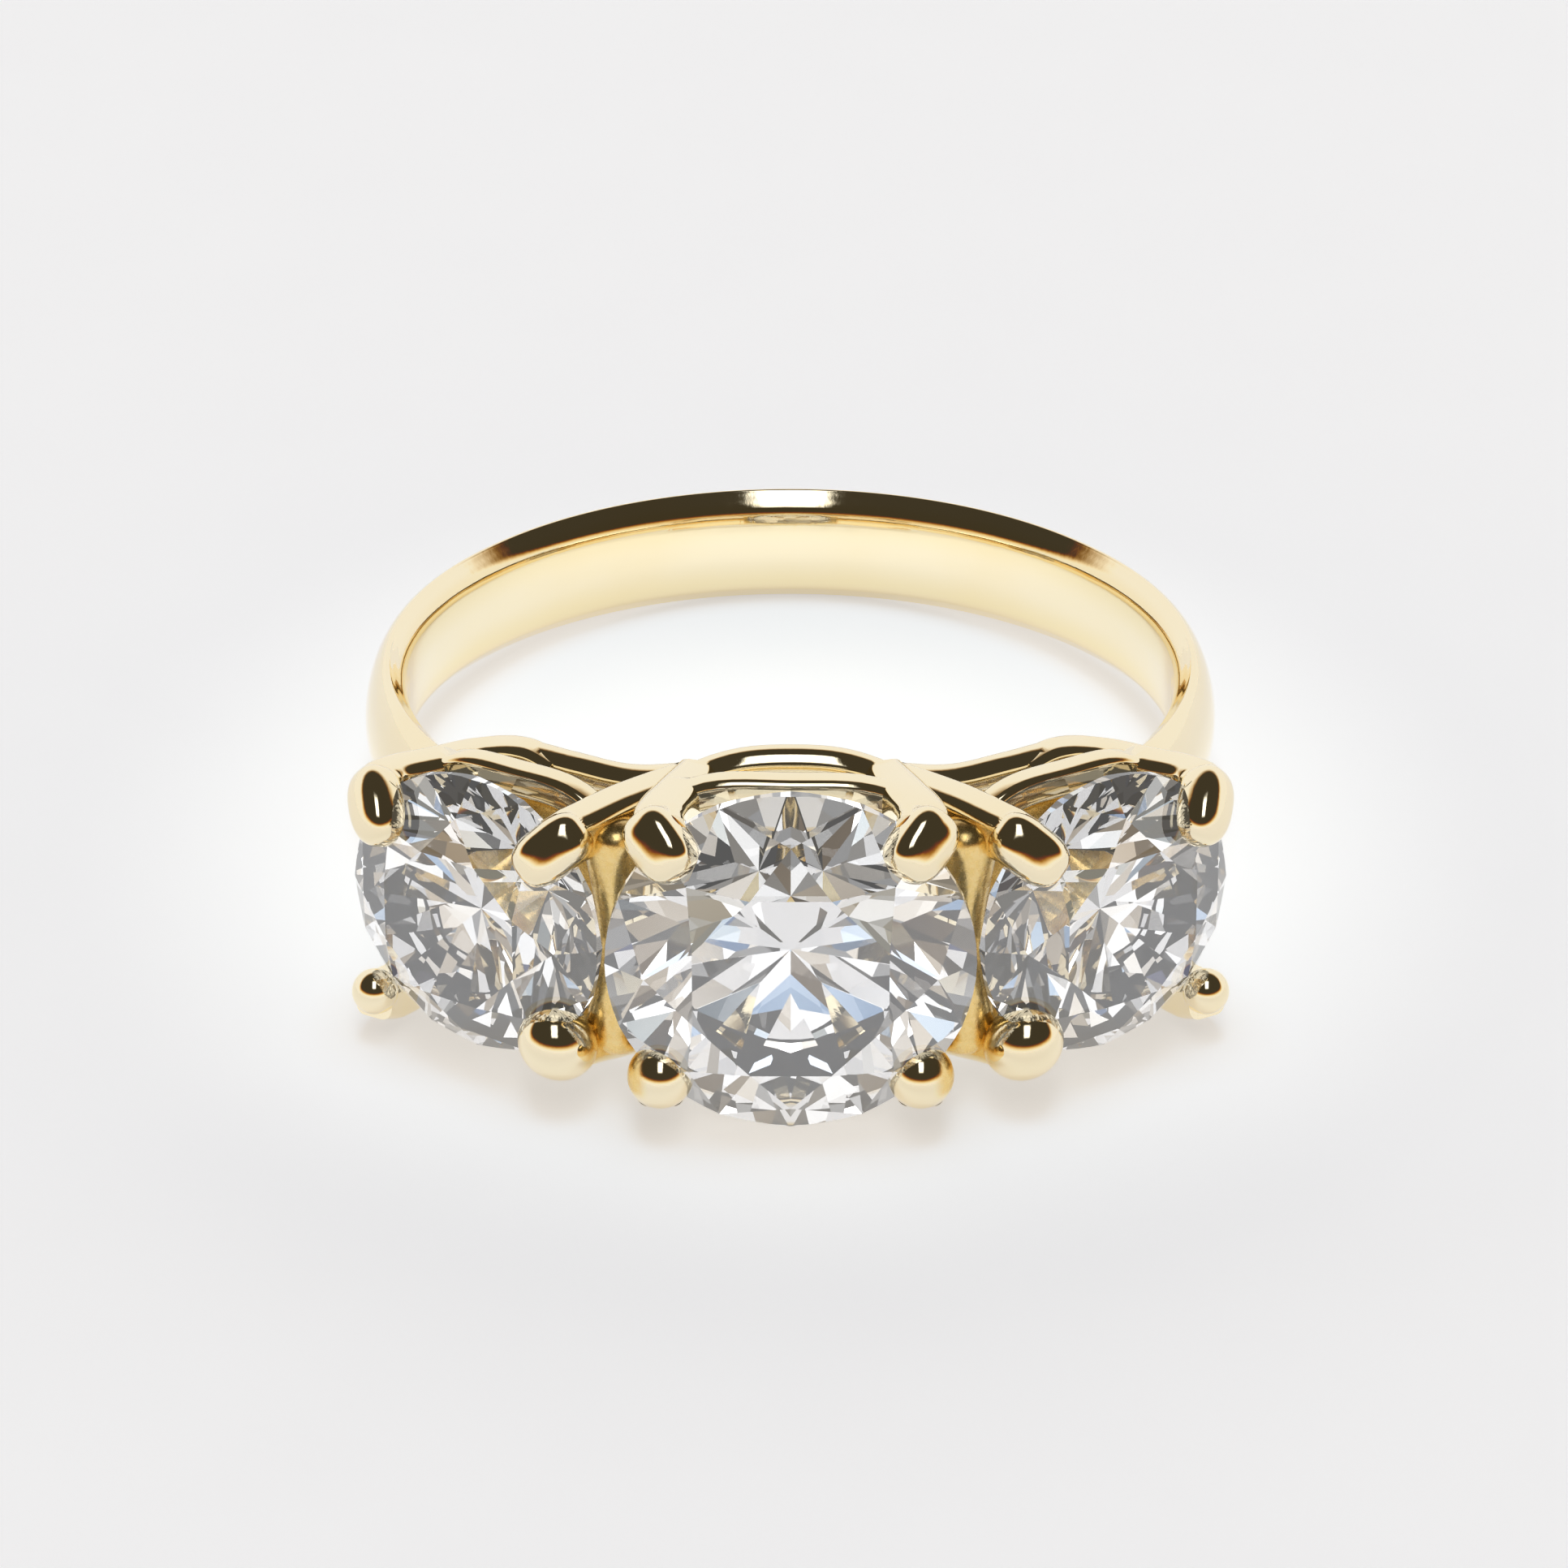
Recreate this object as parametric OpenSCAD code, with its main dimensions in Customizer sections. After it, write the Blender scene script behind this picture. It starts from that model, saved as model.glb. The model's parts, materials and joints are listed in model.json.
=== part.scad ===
// Three-stone ring in yellow gold. Three round brilliants sit in open four-prong baskets of
// wire, joined as a trellis across the front of a slim domed shank.
// Everything is shaped in the ring's own frame: the finger runs along Z, the stones face -Y.
// The ring then lies down on its side, on the girdle of the centre stone and the back of the shank.

/* [Finger] */
// Diameter of the finger hole
bore_d = 17; // [16:0.5:18]

/* [Shank] */
// Width of the shank along the finger
shank_w = 2.76; // [2.5:0.02:2.9]
// Thickness of the shank at the back
shank_t = 0.94; // [0.88:0.02:1.1]
// How much thicker the shank is at the front than at the back
shank_growth = 0.14; // [0.1:0.02:0.3]
// How far the eased edges of the finger hole reach across the shank
ease_w = 0.5; // [0.4:0.05:0.6]
// How far the eased edges reach out from the finger hole
ease_t = 0.3; // [0.2:0.02:0.36]

/* [Saddles] */
// Width of the saddles that carry the side baskets
saddle_w = 4.5; // [4.3:0.1:4.6]
// Thickness of the saddles
saddle_t = 0.6; // [0.55:0.05:0.65]

/* [Stones] */
// Diameter of the centre stone
centre_d = 7.76; // [7.6:0.1:7.9]
// Diameter of each side stone
side_d = 6.3; // [6.1:0.1:6.4]
// Angle round the finger from the centre stone to a side stone
side_turn = 33.8; // [33:0.2:34.6]
// Table across its corners, as a share of the stone's diameter
table_share = 0.57; // [0.53:0.01:0.6]
// Slope of the main crown facets
crown_slope = 34.5; // [33:0.5:36]
// Slope of the main pavilion facets
pavilion_slope = 40.8; // [40.2:0.2:41.2]
// Clearance between the culet of the centre stone and the finger
culet_gap = 0.12; // [0.1:0.02:0.2]
// Gap between the girdles of neighbouring stones
stone_gap = 0.12; // [0.1:0.02:0.2]

/* [Baskets] */
// Diameter of the centre prongs at the girdle
centre_prong_d = 1.2; // [1.1:0.05:1.25]
// Diameter of the side prongs at the girdle
side_prong_d = 1.04; // [0.98:0.02:1.1]
// Diameter of the gallery rails below the girdles
rail_d = 0.7; // [0.66:0.02:0.76]
// Diameter of the base wires along the finger
base_wire_d = 0.84; // [0.8:0.02:0.9]
// Clearance between a stone and its seat
seat_gap = 0.04; // [0.03:0.01:0.06]

/* [Hidden] */
$fn = 96;

bore_r = bore_d / 2;
centre_r = centre_d / 2;
side_r = side_d / 2;
base_r = bore_r + 0.6;

// Proportions of a brilliant cut, as shares of its girdle radius
girdle_share = 0.07;
star_share = 0.55;
lower_share = 0.77;
table_r = table_share;
table_h = girdle_share / 2 + (1 - table_r) * tan(crown_slope);
star_r = table_r * cos(22.5) + star_share * (1 - table_r * cos(22.5));
star_h = table_h - (star_r * cos(22.5) - table_r) * tan(crown_slope);
culet_h = girdle_share / 2 + tan(pavilion_slope);
lower_r = 1 - lower_share;
lower_h = culet_h - lower_r * cos(22.5) * tan(pavilion_slope);

// Distance of each girdle plane from the finger's axis
centre_reach = bore_r + culet_gap + centre_r * culet_h;
side_reach = (centre_r + stone_gap + side_r * cos(side_turn)) / sin(side_turn);

// Where a centre prong, a side prong and the base wires meet
joint = [1.95, -bore_r - 0.55, 2.66];

// Outside of the shank in section, from one face over the dome to the other
dome = [for (a = [0 : 15 : 180])
    [bore_r + ease_t + (shank_t + shank_growth / 2 - ease_t) * pow(sin(a), 0.85),
     shank_w / 2 * cos(a)]];

function unit(v) = v / norm(v);

// Point at share t of the way from control point i to the next, on a smooth curve
function curve_point(p, i, t, closed) =
    let (n = len(p), b = p[i], c = p[(i + 1) % n],
         a = i > 0 ? p[i - 1] : closed ? p[n - 1] : b * 2 - c,
         d = closed || i + 2 < n ? p[(i + 2) % n] : c * 2 - b)
    0.5 * (2 * b + (c - a) * t + (2 * a - 5 * b + 4 * c - d) * t * t
           + (3 * b - a - 3 * c + d) * t * t * t);
function curve(p, steps, closed = false) = concat(
    [for (i = [0 : len(p) - (closed ? 1 : 2)]) for (k = [0 : steps - 1])
        curve_point(p, i, k / steps, closed)],
    closed ? [] : [p[len(p) - 1]]);
function place(q) = [q[0], q[1], q[2]];

// A point given from a stone, [across its girdle, out along its axis, up the finger]
function from_stone(turn, reach, p) = [
    (reach + p[1]) * sin(turn) + p[0] * cos(turn),
    -(reach + p[1]) * cos(turn) + p[0] * sin(turn),
    p[2]];
// A point given round the finger, by its angle from the front
function round_finger(angle, r, z) = [r * sin(angle), -r * cos(angle), z];

// Skin over rings of points, each ring listed the same way round
module skin(rings, closed) {
    n = len(rings[0]);
    rows = len(rings);
    last = closed ? rows - 1 : rows - 2;
    walls = [for (i = [0 : last]) for (k = [0 : n - 1])
        let (a = i * n + k, b = i * n + (k + 1) % n,
             c = (i + 1) % rows * n + k, d = (i + 1) % rows * n + (k + 1) % n)
        each [[a, d, c], [a, b, d]]];
    ends = closed ? [] : [[for (k = [n - 1 : -1 : 0]) k],
                          [for (k = [0 : n - 1]) (rows - 1) * n + k]];
    polyhedron([for (ring = rings) each ring], concat(walls, ends));
}

// Round wire along control points [x, y, z, radius], closed or with domed ends
module wire(points, steps = 3, closed = false, sides = 8) {
    line = curve(points, steps, closed);
    n = len(line);
    function ahead(i) = closed ? line[(i + 1) % n] : line[min(i + 1, n - 1)];
    function behind(i) = closed ? line[(i + n - 1) % n] : line[max(i - 1, 0)];
    function along(i) = unit(place(ahead(i)) - place(behind(i)));
    // The section keeps one corner line towards the middle of the ring
    function ring(centre, dir, r) =
        let (u = unit(cross(dir, place(centre))), v = cross(u, dir))
        [for (k = [0 : sides - 1])
            place(centre) + r * (cos(360 * (k + 0.5) / sides) * u
                                 + sin(360 * (k + 0.5) / sides) * v)];
    // Each step of a dome is a share of the radius beyond the end and a share across
    dome = [[0.34, 0.94], [0.72, 0.69], [0.95, 0.3]];
    body = [for (i = [0 : n - 1]) ring(line[i], along(i), line[i][3])];
    start = [for (k = [2 : -1 : 0])
        ring(place(line[0]) - dome[k][0] * line[0][3] * along(0), along(0),
             dome[k][1] * line[0][3])];
    end = [for (k = [0 : 2])
        ring(place(line[n - 1]) + dome[k][0] * line[n - 1][3] * along(n - 1), along(n - 1),
             dome[k][1] * line[n - 1][3])];
    skin(closed ? body : concat(start, body, end), closed);
}

module both_faces() {
    children();
    mirror([0, 0, 1]) children();
}

module both_sides() {
    children();
    mirror([1, 0, 0]) children();
}

// Turns the stone's own frame, table up along Z, to face outwards
module at_stone(turn, reach) {
    rotate([0, 0, turn]) translate([0, -reach, 0]) rotate([90, 0, 0]) children();
}

// Domed band, its outside set a little forward so that it thickens towards the shoulders
module shank() {
    half = shank_w / 2;
    front_end = 21;
    hollow_l = side_r * 1.46;
    ease = [for (a = [20 : 17.5 : 90])
        [bore_r + ease_t * (1 - cos(a)), half - ease_w * (1 - sin(a))]];
    difference() {
        translate([0, -shank_growth / 2, 0]) rotate([0, 0, front_end - 90])
            rotate_extrude(angle = 360 - 2 * front_end)
                polygon(concat([[bore_r - 1, -half], [bore_r - 1, half]], dome));
        // Eased edges of the finger hole
        both_faces() rotate_extrude()
            polygon(concat([[bore_r - 0.1, half - ease_w * 1.1]], ease,
                           [[bore_r + ease_t, half + 1], [bore_r - 1.5, half + 1],
                            [bore_r - 1.5, half - ease_w * 1.1]]));
        // Hollow below each side stone
        both_sides() at_stone(side_turn, bore_r + saddle_t)
            translate([-hollow_l / 2, -shank_w, 0]) cube([hollow_l, shank_w * 2, side_r]);
    }
}

// Thin plate on the finger, flaring out of the shank to carry a side basket
module saddle() {
    half = saddle_w / 2;
    neck = shank_w / 2 - 0.1;
    flare = curve([[-2.2, half - 0.15], [-0.8, half], [0.9, half - 0.02], [1.9, neck + 0.45],
                   [2.7, neck + 0.08], [3.4, neck]], 3);
    outline = concat(flare, [for (i = [len(flare) - 1 : -1 : 0]) [flare[i][0], -flare[i][1]]]);
    intersection() {
        cylinder(r = bore_r + saddle_t, h = saddle_w + 1, center = true);
        at_stone(side_turn, 0) linear_extrude(bore_r + saddle_t + 1) polygon(outline);
    }
}

// Outer prong of a side basket on its upper face. It stands off the stone's side by shift across
// and by lift up the finger, and its tip is tucked in over the stone.
module outer_prong(shift, lift, tuck) {
    r = side_prong_d / 2;
    at_girdle = (side_r + 0.12) / sqrt(2);
    prong = [
        [at_girdle + shift - tuck, 0.42, at_girdle - 0.1 + lift - tuck * 0.6, r],
        [at_girdle + shift, -0.1, at_girdle - 0.1 + lift, r],
        [at_girdle - 0.35, -1.4, at_girdle - 0.15 + lift * 0.6, r * 0.96],
        [at_girdle - 0.8, -2.4, at_girdle - 0.17 + lift * 0.3, r * 0.92],
        [at_girdle - 1.7, base_r - side_reach + 0.15, at_girdle, r * 0.86]];
    wire([for (p = prong) concat(from_stone(side_turn, side_reach, p), p[3])]);
}

// Inner prong and base wire of a side basket on its upper face
module inner_wires() {
    r = side_prong_d / 2;
    at_bead = (side_r - 0.3) / sqrt(2);
    at_girdle = (side_r + 0.12) / sqrt(2);
    prong = [
        [-at_bead, 0.45, at_bead, r * 0.96],
        [-at_girdle - 0.15, -0.15, at_girdle + 0.08, r * 1.04],
        [-at_girdle - 0.5, -1.4, at_girdle + 0.25, r]];
    wire(concat([for (p = prong) concat(from_stone(side_turn, side_reach, p), p[3])],
                [concat(joint, r * 0.9)]));
    wire([concat(round_finger(45, base_r, 1.95), base_wire_d * 0.4),
          concat(round_finger(38, base_r, 2.15), base_wire_d * 0.44),
          concat(round_finger(30, base_r, 2.34), base_wire_d * 0.46),
          concat(round_finger(22, base_r, 2.34), base_wire_d * 0.46),
          concat(joint, base_wire_d / 2)]);
}

// Upper right prong of the centre basket
module centre_prong() {
    r = centre_prong_d / 2;
    at_bead = (centre_r - 0.28) / sqrt(2);
    at_girdle = (centre_r + 0.22) / sqrt(2);
    wire([[at_bead, -centre_reach - 0.5, at_bead, r * 1.02],
          [at_girdle, -centre_reach + 0.1, at_girdle, r],
          [at_girdle - 0.45, -centre_reach + 1.65, at_girdle - 0.08, r * 0.94],
          concat(joint, r * 0.84)]);
}

// Gallery rail just below a girdle, bowed from prong to prong
module rail(turn, reach, top, inner, outer, depth) {
    corner_in = [-inner * 0.82, top * 0.82];
    corner_out = [outer * 0.8, top * 0.8];
    ring = [[0, top], corner_out, [outer, 0], [corner_out[0], -corner_out[1]], [0, -top],
            [corner_in[0], -corner_in[1]], [-inner, 0], corner_in];
    wire([for (p = ring) concat(from_stone(turn, reach, [p[0], -depth, p[1]]), rail_d / 2)],
         closed = true);
}

// Base of the centre basket, a loop that hugs the finger
module centre_base() {
    upper = [[0, -bore_r - 0.5, 3.04], joint, [3.05, -bore_r - 0.4, 1.6]];
    side = [3.3, -bore_r - 0.25, 0];
    loop = concat(upper, [side], [for (i = [2 : -1 : 0]) [upper[i][0], upper[i][1], -upper[i][2]]],
        [for (i = [1 : 2]) [-upper[i][0], upper[i][1], -upper[i][2]]],
        [[-side[0], side[1], 0]], [for (i = [2 : -1 : 1]) [-upper[i][0], upper[i][1], upper[i][2]]]);
    wire([for (p = loop) concat(p, base_wire_d / 2)], steps = 2, closed = true);
}

// Profile round a stone, from the culet to the table, as shares of the girdle radius
stone_profile = [[0, -culet_h], [lower_r, -lower_h], [1, -girdle_share / 2], [1, girdle_share / 2],
                 [star_r, star_h], [table_r, table_h], [0, table_h]];

// Room for a stone, a little larger than the stone all round
module seat(r) {
    hull() rotate_extrude($fn = 48) polygon(stone_profile * (r + seat_gap * 1.4));
}

// Round brilliant with its table up and the middle of its girdle at the origin. The flat facets
// beside the girdle cut its round wall in shallow scallops.
module brilliant(r) {
    steps = 4;
    arc = 22.5;
    count = 16 * steps;
    edge = girdle_share / 2;
    reach = cos(arc / 2);
    function spoke(radius, angle, h) = [radius * cos(angle), radius * sin(angle), h] * r;
    // How far the facets dip at girdle point j, for a facet that rises from the girdle to [to_r, to_h]
    function dip(j, to_r, to_h) =
        (to_h - edge) / (reach * (1 - to_r)) * (cos((j % steps) * arc / steps - arc / 2) - reach);
    tables = [for (k = [0 : 7]) spoke(table_r, (k + 0.5) * 45, table_h)];
    stars = [for (k = [0 : 7]) spoke(star_r, k * 45, star_h)];
    uppers = [for (j = [0 : count - 1])
        spoke(1, j * arc / steps, edge - dip(j, star_r, star_h))];
    lowers = [for (j = [0 : count - 1])
        spoke(1, j * arc / steps, -edge + dip(j, lower_r, lower_h))];
    halves = [for (k = [0 : 7]) spoke(lower_r, k * 45, -lower_h)];
    t = 0;
    s = 8;
    u = 16;
    w = u + count;
    l = w + count;
    culet = l + 8;
    kite = 2 * steps;
    faces = concat(
        [[for (k = [7 : -1 : 0]) t + k]],
        [for (k = [0 : 7]) let (next = (k + 1) % 8, tip = u + k * kite + steps) each
            [[t + k, s + k, t + (k + 7) % 8], [t + k, tip, s + k], [t + k, s + next, tip]]],
        [for (k = [0 : 7]) for (j = [0 : kite - 1])
            let (a = k * kite + j, b = (a + 1) % count, near = j < steps ? k : (k + 1) % 8) each
            [[s + near, u + b, u + a], [u + a, u + b, w + b], [u + a, w + b, w + a],
             [l + near, w + a, w + b]]],
        [for (k = [0 : 7]) let (next = (k + 1) % 8, tip = w + k * kite + steps) each
            [[culet, l + k, tip], [culet, tip, l + next]]]);
    polyhedron(concat(tables, stars, uppers, lowers, halves, [[0, 0, -culet_h * r]]), faces);
}

// How the ring lies: the pitch at which its front and back touch the same floor
girdle_back = centre_reach - centre_r * girdle_share / 2;
function front_low(t) = girdle_back * sin(t) - centre_r * cos(t);
function back_low(t) = min([for (p = dome) p[1] * cos(t) - (p[0] - shank_growth / 2) * sin(t)]);
function find_pitch(lo, hi, n) =
    let (t = (lo + hi) / 2)
    n == 0 ? t : front_low(t) < back_low(t) ? find_pitch(t, hi, n - 1) : find_pitch(lo, t, n - 1);
pitch = find_pitch(0, 20, 40);
front_y = -(centre_reach + table_h * centre_r) * cos(pitch)
    - table_r * cos(22.5) * centre_r * sin(pitch);
back_y = max([for (p = dome) (p[0] - shank_growth / 2) * cos(pitch) + p[1] * sin(pitch)]);
finger_at = [0, -(front_y + back_y) / 2, -front_low(pitch)];

// Lays the ring down on its side, with the middle of its footprint at the origin
module lay_down() {
    translate(finger_at) rotate([-pitch, 0, 0]) children();
}

// All the gold, soldered into one
module ring_mount() color("#d9a441") lay_down() difference() {
    union() {
        shank();
        both_sides() saddle();
        both_sides() {
            outer_prong(0.16, 0, 0.33);
            mirror([0, 0, 1]) outer_prong(0.29, 0.52, 0);
            both_faces() inner_wires();
        }
        both_sides() both_faces() centre_prong();
        centre_base();
        rail(0, centre_reach, 3.3, 3.3, 3.3, 1.65);
        both_sides() rail(side_turn, side_reach, 2.6, 2.75, 2.45, 1.4);
    }
    cylinder(r = bore_r, h = 12, center = true);
    at_stone(0, centre_reach) seat(centre_r);
    both_sides() at_stone(side_turn, side_reach) seat(side_r);
}

module centre_stone() color("#eef2f6")
    lay_down() at_stone(0, centre_reach) brilliant(centre_r);

module left_stone() color("#e6ebf0")
    lay_down() at_stone(-side_turn, side_reach) brilliant(side_r);

module right_stone() color("#e6ebf0")
    lay_down() at_stone(side_turn, side_reach) brilliant(side_r);

ring_mount();
centre_stone();
left_stone();
right_stone();
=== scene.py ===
import json
import math

import bpy
from mathutils import Matrix, Vector


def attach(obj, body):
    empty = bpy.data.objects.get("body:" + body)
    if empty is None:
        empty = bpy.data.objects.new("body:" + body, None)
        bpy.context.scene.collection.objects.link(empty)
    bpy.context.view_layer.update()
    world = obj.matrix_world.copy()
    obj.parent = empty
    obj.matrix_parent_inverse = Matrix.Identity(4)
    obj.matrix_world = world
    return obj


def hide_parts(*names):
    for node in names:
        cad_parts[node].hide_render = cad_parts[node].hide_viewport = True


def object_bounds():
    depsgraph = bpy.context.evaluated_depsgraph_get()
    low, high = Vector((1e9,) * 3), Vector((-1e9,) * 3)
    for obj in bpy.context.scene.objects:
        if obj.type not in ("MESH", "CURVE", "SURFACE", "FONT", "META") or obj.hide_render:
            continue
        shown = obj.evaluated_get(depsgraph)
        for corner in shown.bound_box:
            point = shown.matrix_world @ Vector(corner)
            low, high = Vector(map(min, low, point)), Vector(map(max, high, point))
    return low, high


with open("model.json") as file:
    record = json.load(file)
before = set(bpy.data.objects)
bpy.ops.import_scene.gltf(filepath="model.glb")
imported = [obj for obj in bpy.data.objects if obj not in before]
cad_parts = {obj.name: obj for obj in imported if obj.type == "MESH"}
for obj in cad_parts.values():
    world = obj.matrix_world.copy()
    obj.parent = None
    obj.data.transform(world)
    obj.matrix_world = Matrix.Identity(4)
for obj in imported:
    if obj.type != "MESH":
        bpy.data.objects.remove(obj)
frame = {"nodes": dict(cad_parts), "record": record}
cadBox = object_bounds()
print("frame loaded")

# The ring is modelled in mm in its own frame, with the finger along Z and the stones facing -Y.
# It is then laid down the way the finger mount says that the CAD part lies.
finger = next(m for m in frame["record"]["mounts"] if m["name"] == "finger")
boreR = finger["dims"]["r_mm"]
perMetre = 1000
lean = math.atan2(finger["axis"][1], finger["axis"][2])
layDown = (Matrix.Translation(finger["pos_m"]) @ Matrix.Rotation(-lean, 4, "X")
           @ Matrix.Scale(1 / perMetre, 4))

stones = {
    "centreR": 3.88,
    "sideR": 3.15,
    "sideTurn": math.radians(33.8),
    "centreReach": 12.105,  # from the finger's axis to the girdle
    "sideReach": 11.896,
    "crownSlope": math.radians(34),
    "clearance": 0.03,
    # the room of a brilliant of radius 1, from the middle of its pavilion to the table
    "seat": [(0.02, -0.898), (1, -0.035), (1, 0.035), (0.57, 0.33), (0.57, 0.7)],
}


def deselectAll():
    if bpy.context.object and bpy.context.object.mode != "OBJECT":
        bpy.ops.object.mode_set(mode="OBJECT")
    bpy.ops.object.select_all(action="DESELECT")


def makeActive(obj):
    deselectAll()
    obj.select_set(True)
    bpy.context.view_layer.objects.active = obj
    return obj


def named(name):
    obj = bpy.context.object
    obj.name = obj.data.name = name
    return obj


def selectWhere(obj, test):
    # selects the vertices that pass the test, and leaves the object in edit mode
    makeActive(obj)
    bpy.ops.object.mode_set(mode="EDIT")
    bpy.ops.mesh.select_mode(type="VERT")
    bpy.ops.mesh.select_all(action="DESELECT")
    bpy.ops.object.mode_set(mode="OBJECT")
    for vertex in obj.data.vertices:
        vertex.select = test(vertex.co)
    bpy.ops.object.mode_set(mode="EDIT")


def applyPlace(obj, matrix):
    obj.data.transform(matrix)
    if matrix.determinant() < 0:
        obj.data.flip_normals()
    obj.data.update()


def applyModifier(obj, kind, **settings):
    makeActive(obj)
    modifier = obj.modifiers.new(kind.lower(), kind)
    for key, value in settings.items():
        setattr(modifier, key, value)
    bpy.ops.object.modifier_apply(modifier=modifier.name)


def copyOf(obj, matrix):
    twin = obj.copy()
    twin.data = obj.data.copy()
    bpy.context.scene.collection.objects.link(twin)
    applyPlace(twin, matrix)
    return twin


mirrorSides = Matrix.Scale(-1, 4, (1, 0, 0))
mirrorFaces = Matrix.Scale(-1, 4, (0, 0, 1))


def atStone(turn, reach):
    # from a stone's own frame, its table up along Z, to the ring's
    return (Matrix.Rotation(turn, 4, "Z") @ Matrix.Translation((0, -reach, 0))
            @ Matrix.Rotation(math.pi / 2, 4, "X"))


def fromStone(turn, reach, p):
    # a point given across the girdle, out along the stone's axis and up the finger
    out = reach + p[1]
    return (out * math.sin(turn) + p[0] * math.cos(turn),
            -out * math.cos(turn) + p[0] * math.sin(turn), p[2])


def roundFinger(degrees, r, z):
    a = math.radians(degrees)
    return (r * math.sin(a), -r * math.cos(a), z)


shank = {
    "growth": 0.14,  # how much thicker the front is than the back
    "frontEnd": 21,  # degrees from the front at which the band stops
    "steps": 200,
    "sectionSteps": 4,  # between two points of the section
    "boreLength": 14,  # of the cylinder that cuts the finger hole, longer than the ring is wide
    # half of the section, out from the finger and up, from the outside over the edge to the inside
    "section": [(1.0, 0), (0.95, 0.5), (0.84, 0.9), (0.7, 1.18), (0.56, 1.33), (0.47, 1.355),
                (0.41, 1.305), (0.28, 1.175), (0.15, 1.035), (0.07, 0.84), (0.02, 0.5), (0, 0.2)],
}


def makeShank():
    half = shank["section"]
    outline = half + [(out, -up) for out, up in reversed(half[1:])]
    deselectAll()
    bpy.ops.curve.primitive_bezier_circle_add()
    band = named("shankBand")
    spline = band.data.splines[0]
    spline.bezier_points.add(len(outline) - len(spline.bezier_points))
    for knot, (out, up) in zip(spline.bezier_points, outline):
        knot.co = (boreR + out, 0, up)
        knot.handle_left_type = knot.handle_right_type = "AUTO"
    band.data.resolution_u = shank["sectionSteps"]
    band.data.dimensions = "3D"
    makeActive(band)
    bpy.ops.object.convert(target="MESH")
    band = bpy.context.object
    start = math.radians(-90 - shank["frontEnd"])  # the spin turns clockwise
    applyPlace(band, Matrix.Rotation(start, 4, "Z"))
    selectWhere(band, lambda co: True)
    bpy.ops.mesh.spin(steps=shank["steps"], angle=2 * math.pi - 2 * math.radians(shank["frontEnd"]),
                      center=(0, 0, 0), axis=(0, 0, 1))
    bpy.ops.mesh.select_all(action="SELECT")
    bpy.ops.mesh.region_to_loop()
    bpy.ops.mesh.edge_face_add()
    bpy.ops.mesh.select_all(action="SELECT")
    bpy.ops.mesh.normals_make_consistent(inside=False)
    bpy.ops.object.mode_set(mode="OBJECT")
    # the outside sits a little forward, so that the shoulders are thicker
    outermost = half[0][0]
    for vertex in band.data.vertices:
        share = (math.hypot(vertex.co.x, vertex.co.y) - boreR) / outermost
        vertex.co.y -= shank["growth"] / 2 * max(0, share)
    return band


saddle = {
    "thickness": 0.6,
    "steps": (40, 12),
    # half width by the distance round the finger from the stone's middle
    "flare": [(-2.2, 2.1), (-0.8, 2.25), (0.9, 2.23), (1.9, 1.73), (2.7, 1.36), (3.4, 1.28)],
}


def makeSaddle():
    alongSteps, acrossSteps = saddle["steps"]
    deselectAll()
    bpy.ops.mesh.primitive_grid_add(x_subdivisions=alongSteps, y_subdivisions=acrossSteps, size=2)
    plate = named("saddle")
    flare = saddle["flare"]
    low, high = flare[0][0], flare[-1][0]
    r = boreR + saddle["thickness"] / 2
    for vertex in plate.data.vertices:
        along = low + (vertex.co.x + 1) / 2 * (high - low)
        after = next(i for i in range(1, len(flare)) if along <= flare[i][0] + 1e-6)
        (a, wa), (b, wb) = flare[after - 1], flare[after]
        t = (along - a) / (b - a)
        half = wa + (wb - wa) * t * t * (3 - 2 * t)
        angle = stones["sideTurn"] + along / (boreR + saddle["thickness"])
        vertex.co = (r * math.sin(angle), -r * math.cos(angle), vertex.co.y * half)
    applyModifier(plate, "SOLIDIFY", thickness=saddle["thickness"], offset=0)
    return plate


# cross-sections of the drawn wire: how many corners, radius and how far they are rounded
wires = {
    "flat": (4, 1.32, 0.5),
    "round": (8, 1.05, 0.3),
    "cornerSteps": 5,
    "steps": 10,  # between two points of a wire
    "merge": 0.0005,
}


def makeSection(name, corners, radius, soften):
    deselectAll()
    bpy.ops.mesh.primitive_circle_add(vertices=corners, radius=radius)
    section = named(name)
    applyPlace(section, Matrix.Rotation(math.pi / corners, 4, "Z"))
    selectWhere(section, lambda co: True)
    bpy.ops.mesh.bevel(offset=soften, segments=wires["cornerSteps"], affect="VERTICES")
    bpy.ops.object.mode_set(mode="OBJECT")
    bpy.ops.object.convert(target="CURVE")
    return bpy.context.object


def makeNose(turn, reach, end):
    # the rounded end of a prong, drawn out over the slope of its stone
    degrees, radial, out, width, length, fullness = ends[end]
    a, slope = math.radians(degrees), stones["crownSlope"]
    flat = math.cos(slope)
    inwards = Vector((-math.sin(a) * flat, -math.cos(a) * flat, math.sin(slope)))
    deselectAll()
    bpy.ops.mesh.primitive_uv_sphere_add(segments=48, ring_count=32, radius=1)
    nose = named("nose")
    # fuller at the corners than a ball, with a flatter face
    for vertex in nose.data.vertices:
        vertex.co /= sum(abs(v) ** fullness for v in vertex.co) ** (1 / fullness)
    spot = Matrix.Translation((math.sin(a) * radial, math.cos(a) * radial, out))
    turned = inwards.to_track_quat("Z", "Y").to_matrix().to_4x4()
    shape = Matrix.Diagonal((width, width, length, 1))
    applyPlace(nose, atStone(turn, reach) @ spot @ turned @ shape)
    return nose


def noseSpot(end):
    # where the wire ends over it: across its stone, out and up
    degrees, radial, out = ends[end][:3]
    a = math.radians(degrees)
    return (math.sin(a) * radial, out, math.cos(a) * radial + baskets["endLift"])


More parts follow.
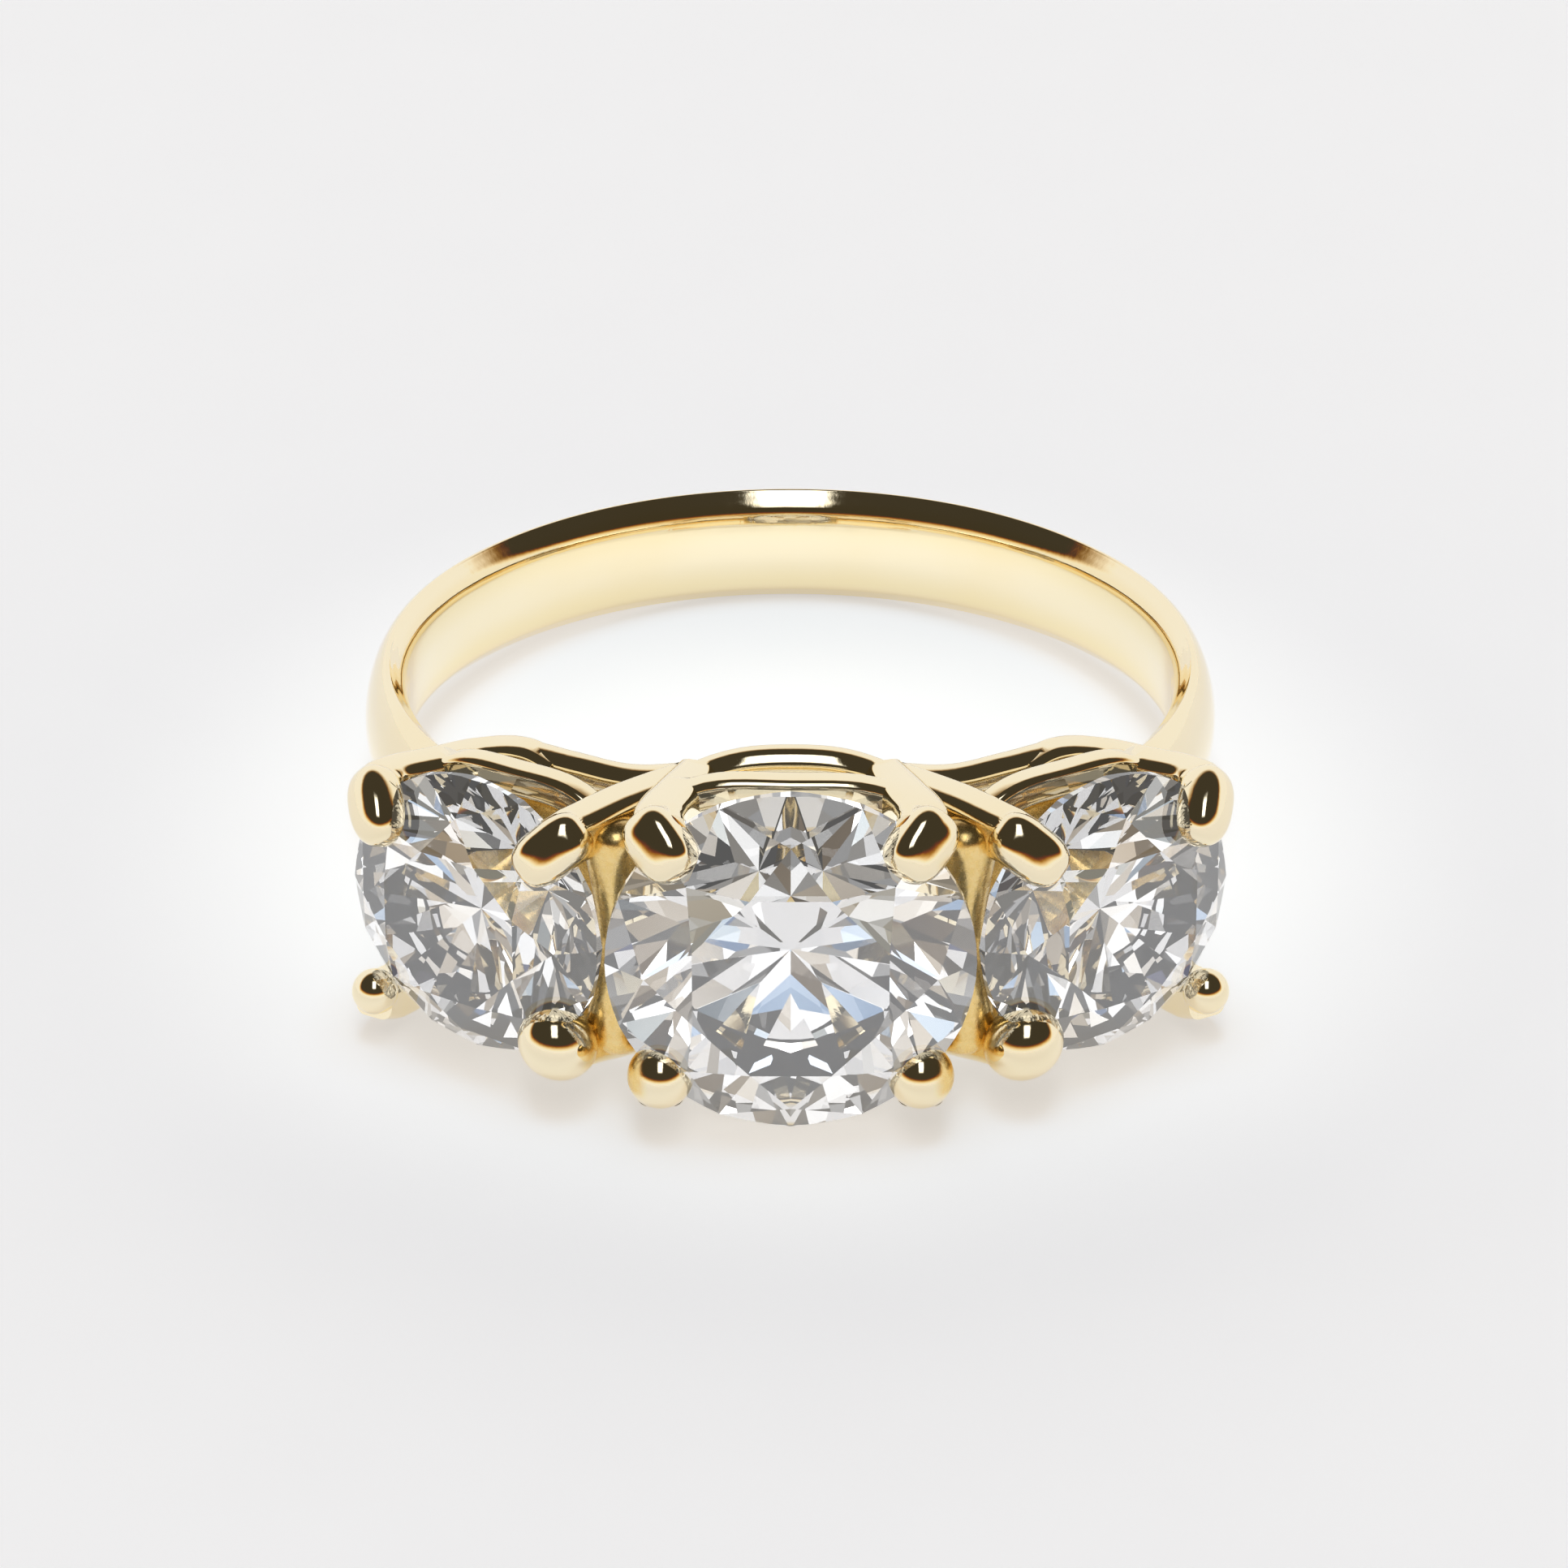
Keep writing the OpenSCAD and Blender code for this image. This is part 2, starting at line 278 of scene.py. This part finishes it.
def makeWire(points, section, closed=False):
    # drawn wire through points (x, y, z, radius)
    deselectAll()
    bpy.ops.curve.primitive_bezier_curve_add()
    wire = named("wire")
    spline = wire.data.splines[0]
    spline.bezier_points.add(len(points) - 2)
    for knot, p in zip(spline.bezier_points, points):
        knot.co = p[:3]
        knot.radius = p[3]
        knot.handle_left_type = knot.handle_right_type = "AUTO"
    spline.use_cyclic_u = closed
    wire.data.resolution_u = wires["steps"]
    wire.data.twist_mode = "Z_UP"
    wire.data.bevel_mode = "OBJECT"
    wire.data.bevel_object = section
    wire.data.use_fill_caps = not closed
    makeActive(wire)
    bpy.ops.object.convert(target="MESH")
    wire = named("wire")
    selectWhere(wire, lambda co: True)
    bpy.ops.mesh.remove_doubles(threshold=wires["merge"])
    bpy.ops.mesh.normals_make_consistent(inside=False)
    bpy.ops.object.mode_set(mode="OBJECT")
    return wire


baskets = {
    "centreProng": 1.2,
    "sideProng": 1.04,
    "rail": 0.7,
    "baseWire": 0.84,
    "prongGap": 0.12,  # from a side stone's edge to the middle of its prongs
    "baseHeight": 0.6,  # from the bore to the middle of the base wires
    "prongLift": 0.15,  # the outer prongs end that much further out
    "joint": (1.95, -boreR - 0.55, 2.66),  # where the wires meet beside the centre basket
    "endLift": 0.15,  # a prong's flat top runs on over its rounded end
    # how far the outer prongs stand off sideways and how far they are lifted, above and below
    "upperSpread": (0.16, 0),
    "lowerSpread": (0.13, 0.5),
    # a rail's half height, half widths inwards and outwards, and depth below the girdle
    "sideRail": (2.6, 2.75, 2.45, 1.4),
    "centreRail": (3.14, 3.3, 3.3, 1.65),
    "railCorners": (0.82, 0.8),  # of those widths, on the inner and the outer side
}

# the prongs' ends: degrees round the stone's axis from the top, distance from that axis,
# height over the girdle, half width, half length and how full the corners are, 2 for a ball
ends = {
    "outerClaw": (45, 3.02, 0.57, 0.58, 0.9, 2.5),
    "innerClaw": (-45, 3.17, 0.34, 0.6, 0.88, 2.8),
    "centreClaw": (43, 3.92, 0.32, 0.63, 0.82, 2.8),
    "outerBall": (45, 3.4, 0.5, 0.5, 0.5, 2),
    "innerBall": (-45, 3.25, 0.35, 0.8, 0.88, 2),
    "centreBall": (47, 3.73, 0.35, 0.7, 0.7, 2),
}


def makeOuterProng(shift, lift, end):
    r = baskets["sideProng"] / 2
    girdle = (stones["sideR"] + baskets["prongGap"]) / math.sqrt(2)
    baseOut = boreR + baskets["baseHeight"] + baskets["prongLift"] - stones["sideReach"]
    # across its stone, out and up the finger, and the half width there, from the tip to the base
    prong = [
        (noseSpot(end), r * 0.92),
        ((girdle + shift, -0.1, girdle - 0.1 + lift), r * 1.05),
        ((girdle - 0.35, -1.4, girdle - 0.15 + lift * 0.6), r * 1.02),
        ((girdle - 0.8, -2.4, girdle - 0.17 + lift * 0.3), r * 0.92),
        ((girdle - 1.7, baseOut, girdle), r * 0.86),
        ((girdle - 2.5, baseOut, girdle - 0.12), r * 0.7),
    ]
    turn, reach = stones["sideTurn"], stones["sideReach"]
    wire = makeWire([(*fromStone(turn, reach, p), w) for p, w in prong], flatWire)
    return [wire, makeNose(turn, reach, end)]


def makeInnerWires(end):
    r = baskets["sideProng"] / 2
    girdle = (stones["sideR"] + baskets["prongGap"]) / math.sqrt(2)
    prong = [
        (noseSpot(end), r * 0.92),
        ((-girdle - 0.1, -0.1, girdle + 0.12), r * 1.05),
        ((-girdle - 0.5, -1.4, girdle + 0.25), r * 1.05),
    ]
    turn, reach = stones["sideTurn"], stones["sideReach"]
    inner = makeWire([(*fromStone(turn, reach, p), w) for p, w in prong]
                     + [(*baskets["joint"], r * 0.9)], flatWire)
    w, baseR = baskets["baseWire"], boreR + baskets["baseHeight"]
    base = makeWire([(*roundFinger(45, baseR, 2.06), w * 0.36),
                     (*roundFinger(38, baseR, 2.3), w * 0.44),
                     (*roundFinger(30, baseR, 2.34), w * 0.46),
                     (*roundFinger(22, baseR, 2.34), w * 0.46),
                     (*baskets["joint"], w / 2)], roundWire)
    return [inner, base, makeNose(turn, reach, end)]


def makeCentreProng(end):
    r = baskets["centreProng"] / 2
    reach = stones["centreReach"]
    spot = fromStone(0, reach, noseSpot(end))
    return [makeWire([(*spot, r * 0.92),
                      (2.72, -reach + 0.25, 2.97, r * 0.98),
                      (2.36, -reach + 1.65, 2.82, r * 0.94),
                      (*baskets["joint"], r * 0.84)], flatWire), makeNose(0, reach, end)]


def makeRail(turn, reach, top, inner, outer, depth):
    innerShare, outerShare = baskets["railCorners"]
    corner = (-inner * innerShare, top * innerShare)
    far = (outer * outerShare, top * outerShare)
    rail = [(0, top), far, (outer, 0), (far[0], -far[1]), (0, -top), (corner[0], -corner[1]),
            (-inner, 0), corner]
    return makeWire([(*fromStone(turn, reach, (p[0], -depth, p[1])), baskets["rail"] / 2)
                     for p in rail], flatWire, closed=True)


def makeCentreBase():
    # loop under the centre stone, from the top round its right side and back up the left
    upper = [(0, -boreR - 0.5, 3.04), baskets["joint"], (3.05, -boreR - 0.4, 1.6)]
    quarter = upper + [(3.3, -boreR - 0.25, 0)]
    right = quarter + [(x, y, -z) for x, y, z in reversed(upper)]
    left = [(-x, y, z) for x, y, z in reversed(right[1:-1])]
    return makeWire([(*p, baskets["baseWire"] / 2) for p in right + left], roundWire, closed=True)


def makeSeat(r, turn, reach):
    size = r + stones["clearance"]
    profile = stones["seat"]
    deselectAll()
    bpy.ops.mesh.primitive_circle_add(vertices=96, radius=profile[0][0] * size, fill_type="NGON")
    seat = named("seat")
    applyPlace(seat, Matrix.Translation((0, 0, profile[0][1] * size)))
    selectWhere(seat, lambda co: True)
    for (r0, z0), (r1, z1) in zip(profile, profile[1:]):
        bpy.ops.mesh.extrude_region_move(
            TRANSFORM_OT_translate={"value": (0, 0, (z1 - z0) * size)})
        bpy.ops.transform.resize(value=(r1 / r0, r1 / r0, 1))
    bpy.ops.mesh.select_all(action="SELECT")
    bpy.ops.mesh.normals_make_consistent(inside=False)
    bpy.ops.object.mode_set(mode="OBJECT")
    applyPlace(seat, atStone(turn, reach))
    return seat


web = {
    "angle": 18.4,  # degrees round the finger, where the girdles nearly touch
    "reach": 11.5,
    "half": 2.75,
    "waist": 0.42,  # radius in the middle, and at the ends
    "end": 0.9,
    "flare": 1.6,  # higher is slimmer for longer
    "blunt": 8,  # higher is flatter at the ends
    "front": -0.05,  # where it stops, above the girdles
}


def makeWeb():
    # post between the baskets, narrow where the girdles are closest
    deselectAll()
    bpy.ops.mesh.primitive_uv_sphere_add(segments=40, ring_count=48, radius=1)
    post = named("web")
    waist, end = web["waist"], web["end"]
    for vertex in post.data.vertices:
        x, y, t = vertex.co
        width = waist + (end - waist) * abs(t) ** web["flare"]
        width = width * math.sqrt(max(0, 1 - t ** web["blunt"]))
        width = width / math.sqrt(max(1e-6, 1 - t * t))
        vertex.co = (x * width, y * width, t * web["half"])
    applyPlace(post, Matrix.Translation(roundFinger(web["angle"], web["reach"], 0)))
    # open in front of the girdles
    cutR, cutDepth = 8, 4
    fronts = []
    for turn, reach in ((0, stones["centreReach"]), (stones["sideTurn"], stones["sideReach"])):
        deselectAll()
        bpy.ops.mesh.primitive_cylinder_add(vertices=24, radius=cutR, depth=cutDepth,
                                            location=(0, 0, cutDepth / 2 + web["front"]))
        bpy.ops.object.transform_apply(location=True)
        fronts.append(bpy.context.object)
        applyPlace(fronts[-1], atStone(turn, reach))
    cutBy(post, fronts)
    return post


def cutBy(obj, cutters, operation="DIFFERENCE"):
    for cutter in cutters:
        applyModifier(obj, "BOOLEAN", operation=operation, solver="MANIFOLD", object=cutter)
        bpy.data.objects.remove(cutter)


def makeRing():
    turn, reach = stones["sideTurn"], stones["sideReach"]
    upper = [makeSaddle(), *makeOuterProng(*baskets["upperSpread"], "outerClaw"),
             *makeInnerWires("innerClaw"), makeRail(turn, reach, *baskets["sideRail"])]
    lower = makeInnerWires("innerBall") + makeOuterProng(*baskets["lowerSpread"], "outerBall")
    under = makeCentreProng("centreBall")
    for part in lower + under:
        applyPlace(part, mirrorFaces)
    right = upper + lower + [makeWeb()]
    prongs = makeCentreProng("centreClaw") + under
    prongs += [copyOf(p, mirrorSides) for p in prongs]
    parts = right + [copyOf(p, mirrorSides) for p in right] + prongs + [
        makeCentreBase(), makeRail(0, stones["centreReach"], *baskets["centreRail"])]
    ring = makeShank()
    cutBy(ring, parts, "UNION")
    # the finger hole and the stones' seats, through everything that reaches into them
    deselectAll()
    bpy.ops.mesh.primitive_cylinder_add(vertices=256, radius=boreR, depth=shank["boreLength"])
    bore = named("bore")
    cutBy(ring, [bore, makeSeat(stones["centreR"], 0, stones["centreReach"]),
                 makeSeat(stones["sideR"], turn, reach), makeSeat(stones["sideR"], -turn, reach)])
    return ring


def finishPiece(obj, smoothAngle):
    applyPlace(obj, layDown)
    # what rests on the floor is worn flat by a hair
    low, high = cadBox
    for vertex in obj.data.vertices:
        vertex.co = [min(max(v, a), b) for v, a, b in zip(vertex.co, low, high)]
    makeActive(obj)
    bpy.ops.object.shade_smooth_by_angle(angle=math.radians(smoothAngle))


class Value:
    # a node's output that takes part in Python sums
    def __init__(self, tree, socket):
        self.tree = tree
        self.socket = socket

    def combine(self, operation, first, second=None):
        node = self.tree.nodes.new("ShaderNodeMath")
        node.operation = operation
        for slot, value in zip(node.inputs, (first, second)):
            if isinstance(value, Value):
                self.tree.links.new(value.socket, slot)
            elif value is not None:
                slot.default_value = value
        return Value(self.tree, node.outputs[0])

    def __add__(self, other):
        return self.combine("ADD", self, other)

    def __sub__(self, other):
        return self.combine("SUBTRACT", self, other)

    def __rsub__(self, other):
        return self.combine("SUBTRACT", other, self)

    def __mul__(self, other):
        return self.combine("MULTIPLY", self, other)

    def __pow__(self, other):
        return self.combine("POWER", self, other)

    def abs(self):
        return self.combine("ABSOLUTE", self)

    __radd__ = __add__
    __rmul__ = __mul__


class Surface:
    # the node tree of a material or a world, with one way to add a node
    def __init__(self, owner):
        owner.use_nodes = True
        self.owner = owner
        self.tree = owner.node_tree
        self.tree.nodes.clear()

    def add(self, kind, settings=None, values=None, output=0):
        node = self.tree.nodes.new(kind)
        for key, value in (settings or {}).items():
            setattr(node, key, value)
        for key, value in (values or {}).items():
            slot = node.inputs[key]
            if isinstance(value, Value):
                self.tree.links.new(value.socket, slot)
            elif isinstance(slot.default_value, (float, int)):
                slot.default_value = value
            else:
                slot.default_value = (*value, 1) if len(slot.default_value) > len(value) else value
        return Value(self.tree, node.outputs[output]) if node.outputs else None

    def step(self, value, low, high):
        # 0 below low, 1 above high, smooth between
        return self.add("ShaderNodeMapRange", {"interpolation_type": "SMOOTHSTEP"},
                        {"Value": value, "From Min": low, "From Max": high})

    def noise(self, place, scale, detail=3):
        return self.add("ShaderNodeTexNoise", None,
                        {"Vector": place, "Scale": scale, "Detail": detail})

    def mix(self, share, first, second):
        # the colour sockets share their names with others, so they go by number
        return self.add("ShaderNodeMix", {"data_type": "RGBA"},
                        {0: share, 6: first, 7: second}, output=2)

    def dot(self, first, second):
        return self.add("ShaderNodeVectorMath", {"operation": "DOT_PRODUCT"},
                        {0: first, 1: second}, output="Value")

    def split(self, place):
        return [self.add("ShaderNodeSeparateXYZ", None, {"Vector": place}, output=axis)
                for axis in "XYZ"]

    def finish(self, shader, kind="ShaderNodeOutputMaterial"):
        self.add(kind, None, {"Surface": shader})
        return self.owner


gold = {
    "tone": (0.985, 0.875, 0.635),
    "deepTone": (0.965, 0.82, 0.53),
    # painted shade of the recesses between the wires and the stones
    "castTone": (0.9, 0.63, 0.2),
    # painted reflection of the gold in the bore
    "boreTone": (0.93, 0.75, 0.38),
    "boreShare": 0.5,
    "cloudScale": 260,
    "cloudFade": (0.4, 0.8),  # of the noise, from one tone to the other
    "cloudShare": 0.5,
    "roughness": 0.045,
    "waveScale": 900,
    "waveDepth": 0.00002,
    "waveStrength": 0.25,
    "markScale": 5400,
    "markLength": 0.25,  # lower is longer
    "markFade": (0.45, 0.8),
    "markHeight": 0.3,  # of the waves'
    "markRoughness": 0.04,
    "grainScale": 9000,
    # share of the painted shade tone on the cast skin
    "castShare": (0.6, 0.4),  # the least, and what the grain adds
    "castDepth": 0.000012,
    "castStrength": 0.5,
    "castRoughness": (0.12, 0.2),  # the least, and what the grain adds
}

# where the cast skin and its painted shade show, and the bore's painted reflection, in mm: each
# pair is where a fade starts and ends
castSkin = {
    "girdle": (-0.8, -0.5),  # out along a stone's axis, from its girdle
    "depth": (-3.6, -3.4),
    "rim": (-0.25, 0.15),  # past the stone's radius
    "up": (1.9, 2.3),  # along the finger
    "gapInner": (2.9, 3.3),  # between the stones, off the middle of the ring
    "gapOuter": (4.1, 4.5),
    "gapUp": (2.6, 2.95),
    "gapFront": (10, 10.6),
    "bore": (0.02, 0.32),  # off the bore
    "boreUp": (0.1, 1.0),
    "boreBack": (-4, 0),
}


def insideBasket(s, side, y, z, turn, reach, r):
    # 1 below a stone's girdle and within its width, both sides alike
    out = side * math.sin(turn) - y * math.cos(turn) - reach
    across = side * math.cos(turn) + y * math.sin(turn)
    wide = (across * across + z * z) ** 0.5
    deep = (1 - s.step(out, *castSkin["girdle"])) * s.step(out, *castSkin["depth"])
    rimStart, rimEnd = castSkin["rim"]
    skinAndShade = (1 - s.step(wide, r + rimStart, r + rimEnd)) * deep
    return skinAndShade * (1 - s.step(z.abs(), *castSkin["up"]))


def goldMaterial():
    s = Surface(bpy.data.materials.new("polishedGold"))
    place = s.add("ShaderNodeTexCoord", output="Object")
    # slow change of tone, as between alloy and solder
    cloud = s.noise(place, gold["cloudScale"])
    polished = s.mix(s.step(cloud, *gold["cloudFade"]) * gold["cloudShare"],
                     gold["tone"], gold["deepTone"])
    # inside the baskets and between the stones the cast skin isn't polished, and a deeper tone
    # paints the shade of these recesses on it
    inRing = Matrix.Rotation(lean, 4, "X")
    start = inRing @ Vector(finger["pos_m"]) * -perMetre
    ringPlace = s.add("ShaderNodeMapping", None,
                      {"Vector": place, "Location": start, "Rotation": (lean, 0, 0),
                       "Scale": (perMetre, perMetre, perMetre)})
    x, y, z = s.split(ringPlace)
    side = x.abs()
    skinAndShade = insideBasket(s, side, y, z, 0, stones["centreReach"], stones["centreR"])
    skinAndShade = skinAndShade + insideBasket(s, side, y, z, stones["sideTurn"], stones["sideReach"],
                               stones["sideR"])
    gap = s.step(side, *castSkin["gapInner"]) * (1 - s.step(side, *castSkin["gapOuter"]))
    gap = gap * (1 - s.step(z.abs(), *castSkin["gapUp"])) * s.step(y * -1, *castSkin["gapFront"])
    boreStart, boreEnd = castSkin["bore"]
    fromBore = s.step((x * x + y * y) ** 0.5, boreR + boreStart, boreR + boreEnd)
    skinAndShade = s.step(skinAndShade + gap, 0, 1) * fromBore
    # painted reflection: deeper gold round the edges of the bore, where the metal mirrors itself
    bore = (1 - fromBore) * s.step(z.abs(), *castSkin["boreUp"]) * s.step(y, *castSkin["boreBack"])
    polished = s.mix(bore * gold["boreShare"], polished, gold["boreTone"])
    grain = s.noise(place, gold["grainScale"])
    least, more = gold["castShare"]
    # the cast skin's painted shade, uneven with the grain
    tone = s.mix(skinAndShade * (least + grain * more), polished, gold["castTone"])
    # buffing marks, longer along the finger
    stretched = s.add("ShaderNodeMapping", None,
                      {"Vector": place, "Scale": (1, 1, gold["markLength"])})
    marks = s.noise(stretched, gold["markScale"], detail=4)
    waves = s.noise(place, gold["waveScale"], detail=2)
    least, more = gold["castRoughness"]
    rough = gold["roughness"] + s.step(marks, *gold["markFade"]) * gold["markRoughness"]
    rough = rough + skinAndShade * (least + grain * more)
    bump = s.add("ShaderNodeBump", None,
                 {"Strength": gold["waveStrength"], "Distance": gold["waveDepth"],
                  "Height": marks * gold["markHeight"] + waves})
    relief = s.add("ShaderNodeBump", None,
                   {"Strength": gold["castStrength"], "Distance": gold["castDepth"],
                    "Height": grain * skinAndShade, "Normal": bump})
    shader = s.add("ShaderNodeBsdfPrincipled", None,
                   {"Base Color": tone, "Metallic": 1.0, "Roughness": rough, "Normal": relief})
    return s.finish(shader)


diamond = {
    "ior": 2.417,
    "tone": (1, 1, 1),
    "hazeTone": (0.97, 0.975, 1.0),
    "hazeScale": 700,
    "hazeFade": (0.4, 0.7),
    "hazeRoughness": 0.003,
    "roughFade": (0.5, 0.8),
    "glint": 0.015,  # painted glow: each facet gives off a little light of its own at each bounce
    "bounces": 48,
}


def diamondMaterial():
    s = Surface(bpy.data.materials.new("brilliantDiamond"))
    place = s.add("ShaderNodeTexCoord", output="Object")
    haze = s.noise(place, diamond["hazeScale"])
    tone = s.mix(s.step(haze, *diamond["hazeFade"]), diamond["tone"], diamond["hazeTone"])
    rough = s.step(haze, *diamond["roughFade"]) * diamond["hazeRoughness"]
    # the stones' painted glow, which lifts their dark parts
    shader = s.add("ShaderNodeBsdfPrincipled", None,
                   {"Base Color": tone, "IOR": diamond["ior"], "Roughness": rough,
                    "Transmission Weight": 1.0, "Emission Color": tone,
                    "Emission Strength": diamond["glint"]})
    return s.finish(shader)


paper = {
    "tone": (0.79, 0.79, 0.79),
    "fleckTone": (0.82, 0.82, 0.815),
    "fleckScale": 300,
    "roughness": 0.85,
    "sheen": 0.2,
    "glow": 0.65,  # painted light: the paper glows, brightest and warmest round the ring, which lifts and warms the shadows there
    "nearTone": (1.1, 1.05, 0.96),
    "farTone": (0.72, 0.66, 0.61),
    "glowFade": (0.006, 0.017),  # metres from the ring's middle
}


def floorMaterial():
    s = Surface(bpy.data.materials.new("paperFloor"))
    place = s.add("ShaderNodeTexCoord", output="Object")
    tone = s.mix(s.noise(place, paper["fleckScale"]), paper["tone"], paper["fleckTone"])
    # painted pool of light round the ring, fading to the far tone
    away = s.add("ShaderNodeVectorMath", {"operation": "LENGTH"}, {0: place}, output="Value")
    glow = s.mix(s.step(away, *paper["glowFade"]), paper["nearTone"], paper["farTone"])
    shader = s.add("ShaderNodeBsdfPrincipled", None,
                   {"Base Color": tone, "Roughness": paper["roughness"],
                    "Specular IOR Level": paper["sheen"],
                    "Emission Color": glow, "Emission Strength": paper["glow"]})
    return s.finish(shader)


def setMaterial(obj, material):
    obj.data.materials.clear()
    obj.data.materials.append(material)


goldFinish = goldMaterial()
diamondFinish = diamondMaterial()

flatWire = makeSection("flatWire", *wires["flat"])
roundWire = makeSection("roundWire", *wires["round"])
band = makeRing()
for section in (flatWire, roundWire):
    bpy.data.objects.remove(section)
band.name = band.data.name = "goldRing"
finishPiece(band, smoothAngle=40)
setMaterial(band, goldFinish)
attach(band, "root")
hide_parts("ring_mount")
print("gold built,", len(band.data.polygons), "faces")

for node in ("centre_stone", "left_stone", "right_stone"):
    for slot in frame["nodes"][node].material_slots:
        slot.material = diamondFinish


def towardsCamera(degrees):
    # the direction at this height on the camera's side
    a = math.radians(degrees)
    return Vector((0, -math.cos(a), math.sin(a)))


studio = {
    "floorSize": 1.2,
    "backTop": 0.67,  # sine of the height at which the pale walls end, behind and in front
    "frontTop": 0.23,
    "turn": (-0.3, 0.75),  # from the front to the back
    "edge": 0.12,
    "warmth": (0.04, 0, -0.045),  # the walls end higher in red light and lower in blue
    "warmthLoss": 0.6,  # share of it that's gone at the back
    "wallLight": 0.88,
    "darkTone": (0.05, 0.042, 0.028),
    "softbox": towardsCamera(65),
    "softboxSide": (0.0825, 0.1725),  # where it starts and stops fading, sideways and upwards
    "softboxUp": (0.216, 0.396),
    "softboxLowest": (0.3, 0.4),
    "softboxLight": 2.4,
    "sunTone": (0.5, 0.73, 1.0),
    "sunPower": 0.9,
    "sunSpread": math.radians(28),
    "sunLean": math.radians(-3),
}

# what the stones see through their facets, where each pair is where a fade starts and ends
stoneRoom = {
    "patchScale": 2.6,
    "patches": (0.41, 0.56),
    "patchLight": 1.15,
    "leastLight": 0.05,
    "ceiling": (0.78, 0.9),
    "ceilingDark": 0.75,
    "lens": towardsCamera(33),
    "lensEdge": (0.96, 0.985),
    "lensDark": 0.9,
    "screenSide": (0.45, 0.57),  # dark screens beside the camera
    "screenBack": (-0.35, -0.2),
    "screenDark": 0.85,
    "fire": (0.006, 0, -0.008),  # red, green and blue part a little at the edges of the light
    "lensFire": 0.4,
}


def makeStudio():
    deselectAll()
    bpy.ops.mesh.primitive_plane_add(size=studio["floorSize"])
    floor = named("floor")
    setMaterial(floor, floorMaterial())
    # cool light on the paper alone, so that its shadows show the warm painted glow
    bpy.ops.object.light_add(type="SUN", rotation=(studio["sunLean"], 0, 0))
    sun = named("skyLight")
    sun.data.energy = studio["sunPower"]
    sun.data.color = studio["sunTone"]
    sun.data.angle = studio["sunSpread"]
    sun.visible_glossy = sun.visible_transmission = False
    world = Surface(bpy.data.worlds.new("studioTent"))
    bpy.context.scene.world = world.owner
    aim = world.add("ShaderNodeTexCoord", output="Generated")
    side, back, up = world.split(aim)
    # pale walls behind and at the sides, and dark above and towards the camera
    low, high = studio["frontTop"], studio["backTop"]
    behind = world.step(back, *studio["turn"])
    # soft light above the camera, brightest in its middle
    spot = studio["softbox"]
    over = Vector((0, -spot.z, spot.y))
    along = world.dot(aim, over)
    box = 1 - world.step(side.abs(), *studio["softboxSide"])
    box = box * (1 - world.step(along.abs(), *studio["softboxUp"]))
    box = box * world.step(up, *studio["softboxLowest"]) * studio["softboxLight"]
    # the stones see a room of pale and dark things, with the dark lens and ceiling in it
    towards = world.dot(aim, stoneRoom["lens"])
    inStone = world.add("ShaderNodeLightPath", output="Is Transmission Ray")
    patches = world.noise(aim, stoneRoom["patchScale"], detail=2)
    screens = world.step(side.abs(), *stoneRoom["screenSide"])
    screens = screens * (1 - world.step(back, *stoneRoom["screenBack"])) * stoneRoom["screenDark"]
    tints = []
    for bend, warm, dark in zip(stoneRoom["fire"], studio["warmth"], studio["darkTone"]):
        top = low + warm + behind * (high - low - warm * studio["warmthLoss"])
        wall = 1 - world.step(up - top, -studio["edge"], studio["edge"])
        metalLight = (dark + wall * studio["wallLight"] + box) * (1 - inStone)
        ceiling = world.step(up - bend, *stoneRoom["ceiling"])
        lens = world.step(towards + bend * stoneRoom["lensFire"], *stoneRoom["lensEdge"])
        room = world.step(patches + bend, *stoneRoom["patches"])
        room = room * (stoneRoom["patchLight"] - screens)
        room = (room + stoneRoom["leastLight"]) * (1 - ceiling * stoneRoom["ceilingDark"])
        room = room * (1 - lens * stoneRoom["lensDark"]) + box
        tints.append(metalLight + room * inStone)
    red, green, blue = tints
    light = world.add("ShaderNodeCombineColor", None, {"Red": red, "Green": green, "Blue": blue})
    glow = world.add("ShaderNodeBackground", None, {"Color": light, "Strength": 1.0})
    world.finish(glow, "ShaderNodeOutputWorld")


# the camera's place in the ring's own frame, in mm, fitted to the photograph's perspective
camera = {
    "target": (-0.14, -4.0, 0.07),
    "elevation": math.radians(26.5),
    "distance": 150.0,
    "pixelsPerMm": 56.3,
    "imageSide": 1932,
    "sensor": 36.0,
    "clip": (0.01, 10),  # metres
}


def makeCamera():
    deselectAll()
    bpy.ops.object.camera_add()
    cam = bpy.context.object
    e = camera["elevation"]
    target = Vector(camera["target"])
    forward = Vector((0, math.cos(e), -math.sin(e)))
    up = Vector((0, math.sin(e), math.cos(e)))
    place = target - forward * camera["distance"]
    axes = Matrix((Vector((1, 0, 0)), up, -forward)).transposed().to_4x4()
    world = layDown @ Matrix.Translation(place) @ axes
    spot, turn, _ = world.decompose()
    cam.location = spot
    cam.rotation_euler = turn.to_euler()
    cam.data.sensor_width = camera["sensor"]
    cam.data.lens = (camera["sensor"] * camera["pixelsPerMm"] * camera["distance"]
                     / camera["imageSide"])
    cam.data.clip_start, cam.data.clip_end = camera["clip"]
    bpy.context.scene.camera = cam


makeStudio()
makeCamera()
cycles = bpy.context.scene.cycles
cycles.caustics_reflective = False
cycles.max_bounces = cycles.transmission_bounces = diamond["bounces"]
bpy.context.scene.view_settings.view_transform = "Standard"
print("studio set")
